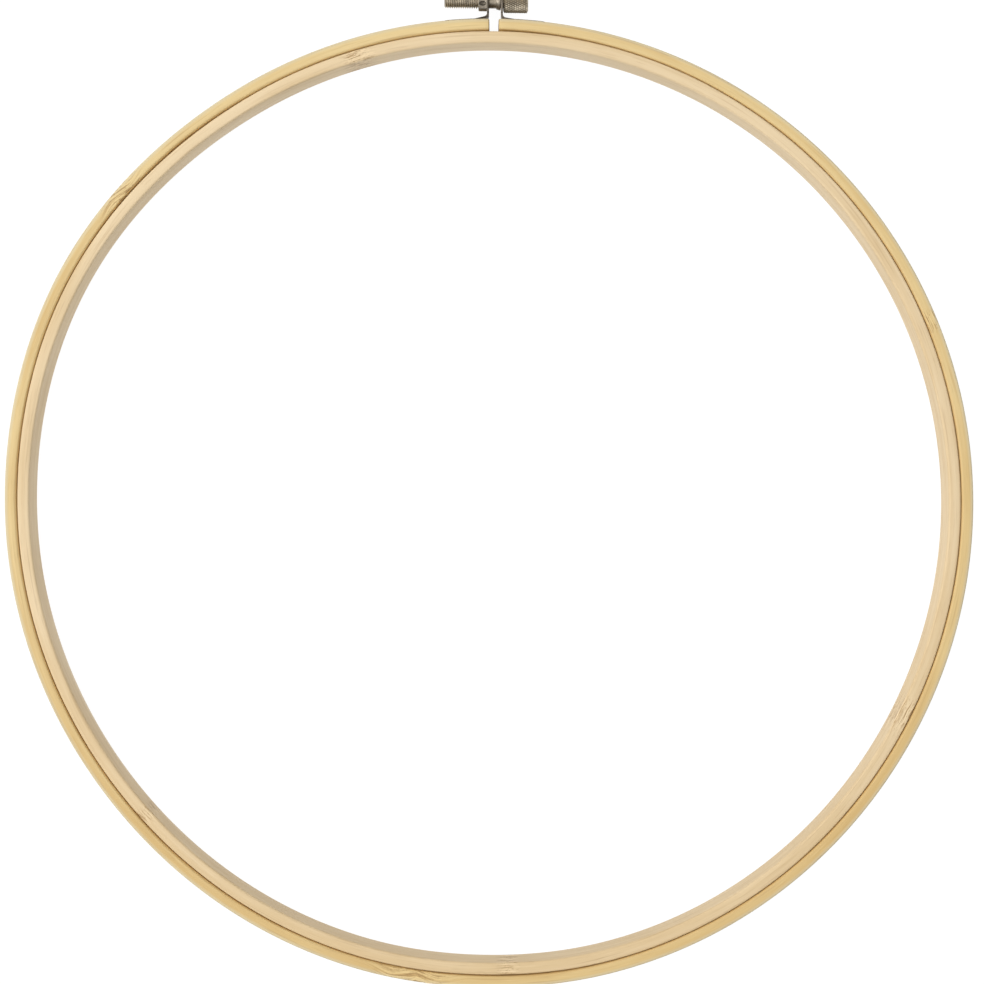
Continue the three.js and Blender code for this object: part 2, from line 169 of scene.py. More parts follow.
class HoopLook(bpy.types.PropertyGroup):
    inner_pale: colour("Closed ring, pale", (238, 215, 176), "Light bamboo of the closed ring")
    inner_warm: colour("Closed ring, warm", (224, 197, 152), "Darker bamboo of the closed ring")
    outer_pale: colour("Split ring, pale", (233, 207, 150), "Light bamboo of the split ring")
    outer_warm: colour("Split ring, warm", (218, 185, 124), "Darker bamboo of the split ring")
    # Partly the culm's outer layer, partly a painted reflection: the pale surroundings' sheen on
    # the split ring's rounded outside edge.
    skin: colour("Bamboo skin", (220, 207, 172), "Greyer bamboo under the culm's skin")
    fibre: colour("Fibre", (168, 132, 84), "Dark fibre bundles and nodes")
    end_grain: colour("End grain", (176, 142, 96), "Saw-cut ends of the split ring")
    sheet_metal: colour("Bracket metal", (156, 148, 134), "Nickel plate on the brackets")
    cut_metal: colour("Cut edges", (118, 110, 99), "Sheared edges of the brackets' sheet")
    screw_metal: colour("Screw metal", (216, 204, 182), "Nickel plate on the screw and nut")
    # Also mixed in darker as the painted shade in the metal's hollows and on its shaded sides.
    tarnish: colour("Tarnish", (92, 82, 68), "Dulled plate and dirt in the hollows")


# Modelling, as by hand


def fresh():
    """Leaves edit mode with nothing selected."""
    if bpy.context.object and bpy.context.object.mode == "EDIT":
        bpy.ops.object.mode_set(mode="OBJECT")
    bpy.ops.object.select_all(action="DESELECT")


def open_up(name):
    """Names the new primitive, moves its place into its mesh and opens it for editing."""
    piece = bpy.context.object
    piece.name = piece.data.name = name
    bpy.ops.object.transform_apply()
    bpy.ops.object.mode_set(mode="EDIT")
    pick_all()
    return piece


def take(piece):
    """Selects one piece alone."""
    fresh()
    piece.select_set(True)
    bpy.context.view_layer.objects.active = piece


def measure(part):
    """The middle of a vertex, edge or face, and its normal, or an edge's direction."""
    if isinstance(part, bmesh.types.BMVert):
        return part.co, part.normal
    if isinstance(part, bmesh.types.BMEdge):
        start, end = part.verts
        return (start.co + end.co) / 2, (end.co - start.co).normalized()
    return part.calc_center_median(), part.normal


def pick(kind, test):
    """Selects only those vertices, edges or faces whose middle and direction pass the test."""
    bpy.ops.mesh.select_mode(type=kind)
    bpy.ops.mesh.select_all(action="DESELECT")
    mesh = bmesh.from_edit_mesh(bpy.context.object.data)
    parts = {"VERT": mesh.verts, "EDGE": mesh.edges, "FACE": mesh.faces}[kind]
    for part in parts:
        if test(*measure(part)):
            part.select_set(True)
    mesh.select_flush_mode()
    bmesh.update_edit_mesh(bpy.context.object.data)


def pick_all():
    bpy.ops.mesh.select_all(action="SELECT")


def stretch(value, centre):
    """Resizes what is selected about a point."""
    bpy.ops.transform.resize(value=value, center_override=centre)


def sweep(angle, centre, steps, axis=UP):
    """Spins what is selected round an axis, counter-clockwise for a positive angle."""
    bpy.ops.mesh.spin(steps=steps, angle=-angle, center=centre, axis=axis)


def push(offset):
    """Extrudes the selected edges."""
    bpy.ops.mesh.extrude_edges_move(TRANSFORM_OT_translate={"value": offset})


def tidy_shell():
    """Merges doubled points and turns every face outwards."""
    pick_all()
    bpy.ops.mesh.remove_doubles(threshold=0.001 * MM)
    bpy.ops.mesh.normals_make_consistent(inside=False)


def shape(piece, kind, **settings):
    """Adds one modifier and applies it."""
    modifier = piece.modifiers.new(kind.title(), kind)
    for name, value in settings.items():
        setattr(modifier, name, value)
    bpy.context.view_layer.objects.active = piece
    bpy.ops.object.modifier_apply(modifier=modifier.name)


def combine(piece, tool, operation):
    """Joins, cuts or trims a piece with a closed tool, which is then thrown away."""
    shape(piece, "BOOLEAN", object=tool, operation=operation, solver="EXACT")
    bpy.data.objects.remove(tool)


def soften(piece, width):
    """Rounds every sharp edge a little."""
    shape(piece, "BEVEL", width=width, segments=2, limit_method="ANGLE", angle_limit=radians(35))


def smooth(piece, limit=32):
    take(piece)
    bpy.ops.object.shade_smooth_by_angle(angle=radians(limit))


def turned(name, stations, sides, centre=screw_axis):
    """A round piece about X: a circle at the first (x, radius), extruded to each of the others."""
    fresh()
    x, radius = stations[0]
    bpy.ops.mesh.primitive_circle_add(
        vertices=sides, radius=radius, fill_type="NOTHING",
        location=(x, centre.y, centre.z), rotation=(0, pi / 2, 0),
    )
    piece = open_up(name)
    closed = stations[0] == stations[-1]
    if not closed:
        bpy.ops.mesh.edge_face_add()
        pick("EDGE", lambda middle, way: True)
    for next_x, next_radius in stations[1:]:
        push((next_x - x, 0, 0))
        if next_radius != radius:
            scale = next_radius / radius
            stretch((1, scale, scale), (next_x, centre.y, centre.z))
        x, radius = next_x, next_radius
    if not closed:
        bpy.ops.mesh.edge_face_add()
    tidy_shell()
    fresh()
    return piece


def finish_piece(piece, finishes, body, nodes):
    """Gives a piece its materials, its body and the CAD nodes that it stands for."""
    fresh()
    for finish in finishes:
        piece.data.materials.append(finish)
    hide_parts(*nodes)
    if body:
        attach(piece, body)


# Shading


class Wire:
    """What leaves a node's socket. Arithmetic on it adds the Math nodes that work it out."""

    def __init__(self, finish, socket):
        self.finish = finish
        self.socket = socket

    def __add__(self, other):
        return self.finish.maths("ADD", self, other)

    def __radd__(self, other):
        return self.finish.maths("ADD", other, self)

    def __sub__(self, other):
        return self.finish.maths("SUBTRACT", self, other)

    def __rsub__(self, other):
        return self.finish.maths("SUBTRACT", other, self)

    def __mul__(self, other):
        return self.finish.maths("MULTIPLY", self, other)

    def __truediv__(self, other):
        return self.finish.maths("DIVIDE", self, other)


class Finish:
    """A procedural material while it is being put together."""

    def __init__(self, name):
        self.material = bpy.data.materials.new(name)
        self.material.use_nodes = True
        self.tree = self.material.node_tree
        self.tree.nodes.clear()

    def add(self, kind, settings, sockets, output=0):
        """One node: first its settings, then the values or links of its sockets."""
        node = self.tree.nodes.new(kind)
        for name, value in settings.items():
            setattr(node, name, value)
        for name, value in sockets.items():
            if isinstance(value, Wire):
                self.tree.links.new(value.socket, node.inputs[name])
            else:
                node.inputs[name].default_value = value
        return Wire(self, node.outputs[output])

    def maths(self, operation, first, second):
        return self.add("ShaderNodeMath", {"operation": operation}, {0: first, 1: second})

    def least(self, first, second):
        return self.maths("MINIMUM", first, second)

    def most(self, first, second):
        return self.maths("MAXIMUM", first, second)

    def size(self, value):
        return self.add("ShaderNodeMath", {"operation": "ABSOLUTE"}, {0: value})

    def ramp(self, value, low, high):
        """0 below low and 1 above high, smooth between them."""
        return self.add(
            "ShaderNodeMapRange", {"interpolation_type": "SMOOTHSTEP"},
            {"Value": value, "From Min": low, "From Max": high},
        )

    def distance(self, across, up):
        offset = self.vector(across, up, 0)
        return self.add("ShaderNodeVectorMath", {"operation": "LENGTH"}, {0: offset}, output=1)

    def mix(self, share, first, second):
        colours = {6: whole(first), 7: whole(second)}
        return self.add("ShaderNodeMix", {"data_type": "RGBA"}, {0: share, **colours}, output=2)

    def kept(self, name):
        """A vector that the mesh keeps at each point."""
        return self.add("ShaderNodeAttribute", {"attribute_name": name}, {}, output=1)

    def vector(self, x, y, z):
        return self.add("ShaderNodeCombineXYZ", {}, {0: x, 1: y, 2: z})

    def parts(self, vector):
        node = self.add("ShaderNodeSeparateXYZ", {}, {0: vector}).socket.node
        return [Wire(self, socket) for socket in node.outputs]

    def noise(self, place, scale, detail, roughness=0.5, fourth=None):
        settings = {"noise_dimensions": "3D" if fourth is None else "4D"}
        sockets = {"Vector": place, "Scale": scale, "Detail": detail, "Roughness": roughness}
        if fourth is not None:
            sockets["W"] = fourth
        return self.add("ShaderNodeTexNoise", settings, sockets)

    def bump(self, height, distance, strength):
        sockets = {"Height": height, "Distance": distance, "Strength": strength}
        return self.add("ShaderNodeBump", {}, sockets)

    def surface(self, **sockets):
        """Ends the material in one Principled shader."""
        named = {name.replace("_", " ").title().replace("Ior", "IOR"): value
                 for name, value in sockets.items()}
        shader = self.add("ShaderNodeBsdfPrincipled", {}, named)
        output = self.tree.nodes.new("ShaderNodeOutputMaterial")
        self.tree.links.new(shader.socket, output.inputs["Surface"])
        return self.material


def whole(value):
    """A colour with its fourth number, or a wire as it is."""
    return value if isinstance(value, Wire) else (*value, 1)


# Bamboo


class BambooNode(NamedTuple):
    """One of the culm's nodes: where it is round the ring, in degrees, how far it reaches each way,
    how its fibres lean, kink and wave, and the height of its dark spot, in millimetres."""

    turn: float
    reach: float
    lean: float = 0
    kink: float = 0
    wave: float = 0
    knot: float = 0


def near_node(finish, x, y, node):
    """How far past a bamboo node a point is, in millimetres, and 1 at the node fading to 0."""
    turn = radians(node.turn)
    off = x * -sin(turn) + y * cos(turn)
    near = 1 - finish.ramp(finish.size(off), 0.2 * node.reach, node.reach)
    same_side = finish.ramp(x * cos(turn) + y * sin(turn), 0, 20)
    return off, near * same_side


def bamboo(name, look, pale, warm, nodes, skin_and_sheen_share, seed):
    """Sanded bamboo strip, whose fibres run along the ring and lean and wave at its nodes."""
    finish = Finish(name)
    along, across = finish.kept("along"), finish.kept("across")
    x, y, _ = finish.parts(along)
    depth, height, _ = finish.parts(across)
    node_marks, shift, knots = 0, 0, 0
    for node in nodes:
        off, near = near_node(finish, x, y, node)
        waves = finish.maths("SINE", off * 0.9, 0) * node.wave
        bent = off * node.lean + finish.size(off) * node.kink + waves
        shift = near * bent + shift
        node_marks = finish.most(near, node_marks)
        if node.knot:
            spot = finish.distance(off * 0.8, height - node.knot)
            knots = (1 - finish.ramp(spot, 0.2, 1)) * near * 0.6 + knots
    depth_here = depth + shift

    def streaks(span, width, detail, move):
        """Noise drawn out along the fibres, over this length and width in millimetres."""
        place = finish.vector(x / span, y / span, depth_here / width)
        return finish.noise(place, 1, detail, 0.55, height / width + move)

    fine = streaks(7, 0.34, 2, seed)
    lines = streaks(24, 0.6, 1, seed + 7)
    bands = streaks(50, 1.5, 1, seed + 13)
    patches = streaks(30, 9, 1, seed + 29)
    # The side opposite the split is painted a little warmer and darker: painted shade, standing in
    # for the lamp's light falling off away from the split.
    tone = finish.ramp(bands * 0.55 + patches * 0.45 - y * 0.0007, 0.25, 0.75)
    body = finish.mix(tone, pale, warm)
    # Painted reflection: towards the outside the split strip is paler and greyer, partly the culm's
    # outer layer and partly the pale surroundings' reflection on its rounded edge.
    rind_and_sheen = finish.ramp(depth, 2.1, 3.3) * skin_and_sheen_share
    body = finish.mix(rind_and_sheen, body, look.skin)
    grooves = finish.ramp(fine, 0.5, 0.64) * node_marks * 0.6
    dark_lines = finish.ramp(lines, 0.56, 0.74) * 0.24 + finish.ramp(fine, 0.54, 0.78) * 0.22
    specks = finish.ramp(streaks(0.9, 0.36, 1, seed + 41), 0.54, 0.64) * node_marks * 0.5
    dark = finish.least(dark_lines * (node_marks + 1) + grooves + specks + knots, 0.85)
    body = finish.mix(dark, body, look.fibre)
    ridges = finish.ramp(1 - fine, 0.48, 0.62) * node_marks * 0.6
    light_lines = finish.ramp(1 - fine, 0.56, 0.78) * 0.3 + ridges
    body = finish.mix(light_lines, body, [min(1, c * 1.14) for c in pale])
    grain = finish.bump(fine * 0.7 + lines * 0.3, 0.05 * MM, 0.35)
    return finish.surface(
        base_color=body,
        roughness=fine * 0.16 + 0.44,
        normal=grain,
        specular_ior_level=0.35,
    )


def cut_ends(look):
    """Saw-cut bamboo: the ends of the fibre bundles show as dark dots."""
    finish = Finish("bamboo_end_grain")
    across = finish.kept("across")
    cells = finish.add("ShaderNodeTexVoronoi", {}, {"Vector": across, "Scale": 1.7})
    dots = 1 - finish.ramp(cells, 0.18, 0.4)
    blotches = finish.noise(across, 0.6, 2)
    body = finish.mix(blotches, look.end_grain, [c * 0.7 for c in look.end_grain])
    body = finish.mix(dots * 0.6, body, [c * 0.5 for c in look.fibre])
    rough = finish.bump(finish.noise(across, 5, 2), 0.06 * MM, 0.6)
    return finish.surface(base_color=body, roughness=0.72 + dots * 0.12, normal=rough)


def lay_grain(piece, bore):
    """Keeps, at each point, its place round the ring and across the strip, in millimetres."""
    along = piece.data.attributes.new("along", "FLOAT_VECTOR", "POINT")
    across = piece.data.attributes.new("across", "FLOAT_VECTOR", "POINT")
    mean = (outer_radius + inner_radius) / 2 / MM
    for vertex, one, other in zip(piece.data.vertices, along.data, across.data):
        out = Vector((vertex.co.x, vertex.co.y - ring_middle.y))
        one.vector = (*(out.normalized() * mean), 0)
        other.vector = ((out.length - bore) / MM, vertex.co.z / MM, 0)


def strip_section(name, radius, wall, edge):
    """A strip's rounded section as a loop of edges, on the +X side of the ring."""
    fresh()
    middle = (radius - wall / 2, ring_middle.y, ring_middle.z)
    bpy.ops.mesh.primitive_plane_add(size=hoop_depth, location=middle, rotation=(pi / 2, 0, 0))
    piece = open_up(name)
    stretch((wall / hoop_depth, 1, 1), middle)
    bpy.ops.mesh.bevel(offset=edge, segments=5, affect="VERTICES")
    pick_all()
    bpy.ops.mesh.delete(type="ONLY_FACE")
    pick_all()
    return piece


# Where the bamboo wasn't bent quite round: the angle of each bulge or flat from +X, how far it
# reaches each way, and how far it stands out. The last one keeps the rings inside the solids' box.
UNEVEN = (
    (radians(152), 79 * MM, 1.15 * MM),
    (radians(217), 112 * MM, -0.8 * MM),
    (radians(297), 126 * MM, 0.65 * MM),
    (radians(270), 40 * MM, -0.27 * MM),
)


def bend_unevenly(ring):
    """Pushes a finished strip a little out of round, each push fading along the ring."""
    take(ring)
    bpy.ops.object.mode_set(mode="EDIT")
    for turn, reach, rise in UNEVEN:
        out = Vector((cos(turn), sin(turn), 0))
        pick("VERT", lambda middle, way: (middle - ring_middle).xy.normalized().dot(out.xy)
             > cos(radians(0.6)))
        bpy.ops.transform.translate(
            value=out * rise, use_proportional_edit=True,
            proportional_edit_falloff="SMOOTH", proportional_size=reach,
        )
    fresh()


class HOOP_OT_inner_ring(bpy.types.Operator):
    """Bends the closed ring from one bamboo strip"""

    bl_idname = "hoop.inner_ring"
    bl_label = "Closed ring"

    def execute(self, context):
        rings, look = context.scene.hoop_rings, context.scene.hoop_look
        ring = strip_section("closed_ring_bamboo", inner_radius, rings.inner_wall, rings.edge)
        sweep(2 * pi, ring_middle, rings.steps)
        tidy_shell()
        fresh()
        lay_grain(ring, inner_radius - rings.inner_wall)
        bend_unevenly(ring)
        smooth(ring)
        nodes = [BambooNode(107, 7, lean=0.06, knot=5.8),
                 BambooNode(333.6, 9, lean=-0.05, wave=0.15),
                 BambooNode(223, 4, lean=0.03, knot=5), BambooNode(273, 5, lean=0.04)]
        finish = bamboo("closed_ring_bamboo", look, look.inner_pale, look.inner_warm, nodes,
                        skin_and_sheen_share=0, seed=3)
        finish_piece(ring, [finish], "closed_ring", ["inner_ring"])
        return {"FINISHED"}


def trim_end(side, rings):
    """Saws one end of the split ring off along its slope and closes it."""
    bore = outer_radius - rings.outer_wall
    corner_x = side * rings.end_gap / 2 - rings.end_shift
    corner = ring_middle + Vector((corner_x, sqrt(bore**2 - corner_x**2), 0))
    slope = Vector((side * rings.end_slope, rings.outer_wall, 0)).normalized()
    to_gap = Vector((-side * slope.y, side * slope.x, 0))
    near_split, at_split = 9 * MM, 4 * MM
    pick("FACE", lambda middle, way: side * middle.x > -MM and abs(middle.x) < near_split
         and middle.y > ring_middle.y)
    bpy.ops.mesh.bisect(plane_co=corner, plane_no=to_gap, use_fill=True, clear_outer=True)
    pick("FACE", lambda middle, way: way.dot(to_gap) > 0.99 and abs(middle.x) < at_split
         and middle.y > ring_middle.y)
    bpy.ops.mesh.bevel(offset=rings.end_edge, segments=3, affect="EDGES")


# Where the split strip stands off the closed ring, in degrees from +X: a sprung end's way round
# from the split, its reach and its share of the bore ease, then a slack place's middle, its reach
# each way and its share.
SPLIT_AT = 90
SPRUNG_ENDS = ((-1, 20, 1), (1, 10, 0.5))
SLACK_PLACES = ((135, 20, 1), (275, 16, 0.5))


def stand_off(turn):
    """The share of the bore ease at an angle round the ring, in degrees."""
    shares = []
    for way, reach, share in SPRUNG_ENDS:
        past = way * (turn - SPLIT_AT)
        if past >= 0:
            shares.append(share * max(0, 1 - past / reach) ** 2)
    for middle, reach, share in SLACK_PLACES:
        near = max(0, 1 - abs(turn - middle) / reach)
        shares.append(share * near**2 * (3 - 2 * near))
    return max(shares)


def ease_bore(rings):
    """Thins the split strip from inside where it stands off the closed ring."""
    step = 360 / rings.steps

    def turn_of(place):
        return degrees(atan2(place.y - ring_middle.y, place.x)) % 360

    for number in range(rings.steps):
        turn = (number + 0.5) * step
        share = stand_off(turn)
        if share > 0.01:
            pick("VERT", lambda middle, way: abs(turn_of(middle) - turn) <= step / 2
                 and (middle - ring_middle).xy.length < outer_radius - rings.outer_wall / 2)
            scale = 1 + rings.bore_ease * share / (outer_radius - rings.outer_wall)
            stretch((scale, scale, 1), ring_middle)


def rivet_ring_holes(ring, clamp, rings):
    """Drills and countersinks the split ring where its four rivets sit."""
    hole, sink, bore = clamp.rivet_shank + 0.05 * MM, 1.4 * MM, -rings.outer_wall
    for node in RIVETS:
        stations = [(bore - MM, sink), (bore + 0.1 * MM, sink), (bore + 0.8 * MM, hole), (MM, hole)]
        tool = turned("rivet_drill", stations, sides=24, centre=Vector((0, 0, 0)))
        aim_out(tool, rivet_turn(node))
        combine(ring, tool, "DIFFERENCE")


class HOOP_OT_outer_ring(bpy.types.Operator):
    """Bends the split ring, saws its ends and drills it for the rivets"""

    bl_idname = "hoop.outer_ring"
    bl_label = "Split ring"

    def execute(self, context):
        scene = context.scene
        rings, clamp, look = scene.hoop_rings, scene.hoop_clamp, scene.hoop_look
        ring = strip_section("split_ring_bamboo", outer_radius, rings.outer_wall, rings.edge)
        short_of_gap = radians(90) - rings.end_gap / 3 / outer_radius
        quarter = rings.steps // 4
        sweep(short_of_gap, ring_middle, quarter)
        pick("EDGE", lambda middle, way: middle.x > 0 and abs(middle.y - ring_middle.y) < 0.01 * MM
             and abs(way.y) < 0.01)
        sweep(-radians(180) - short_of_gap, ring_middle, 3 * quarter)
        tidy_shell()
        ease_bore(rings)
        trim_end(1, rings)
        trim_end(-1, rings)
        tidy_shell()
        fresh()
        rivet_ring_holes(ring, clamp, rings)
        lay_grain(ring, outer_radius - rings.outer_wall)
        bend_unevenly(ring)
        smooth(ring)
        nodes = [BambooNode(140.5, 11, lean=-0.24), BambooNode(261.9, 17, kink=-0.26, wave=0.08),
                 BambooNode(23, 5, lean=0.05)]
        finish = bamboo("split_ring_bamboo", look, look.outer_pale, look.outer_warm, nodes,
                        skin_and_sheen_share=0.75, seed=50)
        finish_piece(ring, [finish, cut_ends(look)], None, ["outer_ring"])
        for face in ring.data.polygons:
            cut = abs(face.normal.x) > 0.3 and abs(face.center.x) < 3 * MM and face.center.y > 0
            face.material_index = int(cut)
        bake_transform(ring)
        return {"FINISHED"}


# Clamp

DENT = Vector((2.3 * MM, 1.5 * MM, 0.84 * MM))
DENT_SPACING = 2.6 * MM
FINE_EDGE = 0.05 * MM


def rivet_turn(node):
    """How far round from +Y a rivet lies, clockwise."""
    middle = box_middle(node)
    return atan2(middle.x - ring_middle.x, middle.y - ring_middle.y)


def aim_out(piece, turn):
    """Sets a piece made along X, from x = 0 on the ring's outside, to point out of the ring."""
    take(piece)
    piece.location = ring_middle + outer_radius * Vector((sin(turn), cos(turn), 0))
    piece.rotation_euler = (0, 0, pi / 2 - turn)
    bpy.ops.object.transform_apply()


def plate_ribbon(name, side, lift, clamp):
    """The face of the sheet that meets the ring and looks into the split, as a bent ribbon."""
    under = outer_radius + clamp.seat
    outside = clamp.bend + clamp.sheet
    foot_end = asin(foot_reach / outer_radius)
    leave = asin(clamp.lift_from / under)
    slope = leave + lift
    bend_x = upright_face + outside * (1 - sin(slope))
    straight = (under * sin(leave) - bend_x) / cos(slope)
    rise = Vector((-side * cos(slope), sin(slope), 0)) * straight
    bend_start = ring_middle + under * Vector((side * sin(leave), cos(leave), 0)) + rise
    bend_middle = bend_start + outside * Vector((side * sin(slope), cos(slope), 0))
    shoulder_y = screw_axis.y - clamp.shoulder
    start = ring_middle + under * Vector((side * sin(foot_end), cos(foot_end), 0))
    fresh()
    bpy.ops.mesh.primitive_plane_add(
        size=clamp.foot_width, rotation=(pi / 2, 0, 0),
        location=(start.x + side * clamp.foot_width / 2, start.y, ring_middle.z),
    )
    piece = open_up(name)
    pick("VERT", lambda middle, way: side * (middle.x - start.x) > 0.1 * MM)
    bpy.ops.mesh.delete(type="VERT")
    pick_all()
    sweep(side * (foot_end - leave), ring_middle, 5)
    push(tuple(rise))
    sweep(-side * (pi / 2 - slope), bend_middle, 8)
    push((0, shoulder_y - bend_middle.y, 0))
    push((0, upright_top - shoulder_y, 0))
    return piece, shoulder_y


def pick_side_edges(low_y, high_y, out):
    """Selects the upright's free side edges between two heights, at a distance from its middle."""
    pick("EDGE", lambda middle, way: abs(way.y) > 0.5 and low_y < middle.y < high_y
         and abs(middle.z - ring_middle.z - out) < 0.01 * MM)


def widen(low_y, high_y, out, reach, ways=(-1, 1)):
    """Extrudes the upright's side edges further out across its width."""
    for way in ways:
        pick_side_edges(low_y, high_y, way * out)
        push((0, 0, way * reach))


def fold_ear(clamp, low_y, high_y, out, ear_end):
    """Folds the upright's front edge back over the nut."""
    pick_side_edges(low_y, high_y, out)
    centre = (-upright_face - clamp.ear_fold, 0, ring_middle.z + out)
    sweep(-pi / 2, centre, 5, axis=(0, 1, 0))
    push((ear_end + upright_face + clamp.ear_fold, 0, 0))


def hole_at_screw(piece, radius, x):
    """Drills the sheet on the screw's axis."""
    stations = [(x - 2 * MM, radius), (x + 2 * MM, radius)]
    combine(piece, turned("screw_drill", stations, sides=48), "DIFFERENCE")


def round_corners(radius, test, segments=5):
    pick("VERT", test)
    bpy.ops.mesh.bevel(offset=radius, segments=segments, affect="VERTICES")


def merge_ribbon():
    pick_all()
    bpy.ops.mesh.remove_doubles(threshold=0.01 * MM)


def thicken(piece, clamp):
    """Gives the ribbon its sheet thickness, on the side away from the ring."""
    pick_all()
    bpy.ops.mesh.normals_make_consistent(inside=False)
    mesh = bmesh.from_edit_mesh(piece.data)
    foot = min(mesh.faces, key=lambda face: face.calc_center_median().y)
    if foot.normal.y > 0:
        bpy.ops.mesh.flip_normals()
    fresh()
    shape(piece, "SOLIDIFY", thickness=clamp.sheet, offset=-1, use_even_offset=True,
          material_offset_rim=1)


class HOOP_OT_brackets(bpy.types.Operator):
    """Bends the nut bracket and the screw bracket from sheet"""

    bl_idname = "hoop.brackets"
    bl_label = "Brackets"

    def execute(self, context):
        clamp, look = context.scene.hoop_clamp, context.scene.hoop_look
        # Painted shade for the brackets' dents and the angle at the ring.
        hollows = bracket_shade_and_grime(clamp)
        metal = plated("bracket_nickel", look, look.sheet_metal, 0.42, seed=5, hollows=hollows)
        sheared = plated("bracket_cut_edge", look, look.cut_metal, 0.5, seed=9, hollows=hollows)
        nut_low, nut_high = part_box("clamp_nut")
        for side, lift, node, body in (
            (-1, clamp.nut_lift, "nut_bracket", "split_ring"),
            (1, clamp.screw_lift, "screw_bracket", "screw_end"),
        ):
            piece, shoulder_y = plate_ribbon(node + "_sheet", side, lift, clamp)
            piece.data.materials.append(metal)
            piece.data.materials.append(sheared)
            narrow, wide = clamp.foot_width / 2, box_reach(node).z
            flat = wide - clamp.ear_fold
            widen(shoulder_y, upright_top, narrow, flat - narrow)
            if side < 0:
                ear_low = screw_axis.y - clamp.ear_height / 2
                ear_high = screw_axis.y + clamp.ear_height / 2
                for cut_y in (ear_low, ear_high):
                    pick("FACE", lambda middle, way: middle.y > shoulder_y)
                    bpy.ops.mesh.bisect(plane_co=(0, cut_y, 0), plane_no=(0, 1, 0))
                merge_ribbon()
                widen(shoulder_y, upright_top, flat, clamp.ear_fold, ways=(-1,))
                widen(shoulder_y, ear_low, flat, clamp.ear_fold, ways=(1,))
                widen(ear_high, upright_top, flat, clamp.ear_fold, ways=(1,))
                fold_ear(clamp, ear_low, ear_high, flat, nut_low.x)
                round_corners(clamp.corner, lambda middle, way: middle.x < nut_low.x + 0.01 * MM
                              and middle.y > ear_low - 0.01 * MM)
            else:
                widen(shoulder_y, upright_top, flat, clamp.ear_fold)
            merge_ribbon()
            round_corners(clamp.foot_corner, lambda middle, way: abs(middle.x) > foot_reach
                          - 0.1 * MM, 6)
            round_corners(clamp.corner, lambda middle, way: middle.y > upright_top - 0.01 * MM
                          and abs(middle.z - ring_middle.z) > wide - 0.01 * MM)
            thicken(piece, clamp)
            hole_at_screw(piece, clamp.hole, side * (upright_face + clamp.sheet / 2))
            if side < 0:
                press_dents(piece, (nut_low.x + nut_high.x) / 2, ring_middle.z + wide)
            soften(piece, clamp.edge)
            smooth(piece)
            finish_piece(piece, [], body, [node])
        return {"FINISHED"}


def press_dents(piece, x, z):
    """Presses two oval dents into the outside of the ear."""
    for way in (-1, 1):
        place = (x, screw_axis.y + way * DENT_SPACING / 2, z)
        fresh()
        bpy.ops.mesh.primitive_uv_sphere_add(segments=32, ring_count=16, radius=MM, location=place)
        tool = open_up("dent_punch")
        stretch(DENT / 2 / MM, place)
        fresh()
        combine(piece, tool, "DIFFERENCE")


class HOOP_OT_rivets(bpy.types.Operator):
    """Turns one rivet and sets its four copies through the feet and the split ring"""

    bl_idname = "hoop.rivets"
    bl_label = "Rivets"

    def execute(self, context):
        scene = context.scene
        rings, clamp, look = scene.hoop_rings, scene.hoop_clamp, scene.hoop_look
        metal = plated("rivet_nickel", look, look.sheet_metal, 0.38, seed=21)
        head, rim, flare, clearance = 1.3 * MM, 0.12 * MM, 0.6 * MM, 0.05 * MM
        seat, tail = clamp.seat + clamp.sheet + clearance, -rings.outer_wall + 0.1 * MM
        stations = [(tail, head), (tail + flare, clamp.rivet_shank),
                    (seat, clamp.rivet_shank), (seat, head), (seat + rim, head)]
        for tilt in range(15, 90, 15):
            rise = radians(tilt)
            stations.append((seat + rim + clamp.rivet_dome * sin(rise), head * cos(rise)))
        model = turned("rivet_model", stations, sides=32, centre=Vector((0, 0, 0)))
        soften(model, FINE_EDGE)
        for node, body in RIVETS.items():
            rivet = model.copy()
            rivet.data = model.data.copy()
            rivet.name = rivet.data.name = node + "_domed"
            scene.collection.objects.link(rivet)
            aim_out(rivet, rivet_turn(node))
            smooth(rivet, 40)
            finish_piece(rivet, [metal], body, [node])
        bpy.data.objects.remove(model)
        return {"FINISHED"}


def helical_ridge(clamp, from_x, to_x):
    """The screw's thread as one closed ridge, wound right-handed about X, a little too high."""
    fresh()
    pitch, foot_share, crest_share, sunk = clamp.thread_pitch, 0.84, 0.14, 0.1 * MM
    root, crest = clamp.thread_radius - clamp.thread_depth, clamp.thread_radius + 0.08 * MM
    bpy.ops.mesh.primitive_plane_add(size=MM)
    ridge = open_up("thread_ridge")
    stretch((foot_share * pitch / MM, (crest - root + sunk) / MM, 1), (0, 0, 0))
    half_way = (root - sunk + crest) / 2
    bpy.ops.transform.translate(value=(0, half_way, 0))
    pick("VERT", lambda middle, way: middle.y > half_way)
    stretch((crest_share, 1, 1), (0, crest, 0))
    pick_all()
    bpy.ops.mesh.delete(type="ONLY_FACE")
    fresh()
    ridge.location = (from_x - pitch, screw_axis.y, screw_axis.z)
    turns = ceil((to_x - from_x) / pitch) + 2
    shape(ridge, "SCREW", axis="X", angle=2 * pi, screw_offset=pitch, iterations=turns,
          steps=32, render_steps=32, use_merge_vertices=False)
    take(ridge)
    bpy.ops.object.transform_apply()
    bpy.ops.object.mode_set(mode="EDIT")
    pick_all()
    bpy.ops.mesh.select_mode(type="EDGE")
    bpy.ops.mesh.select_non_manifold()
    bpy.ops.mesh.edge_face_add()
    tidy_shell()
    fresh()
    return ridge


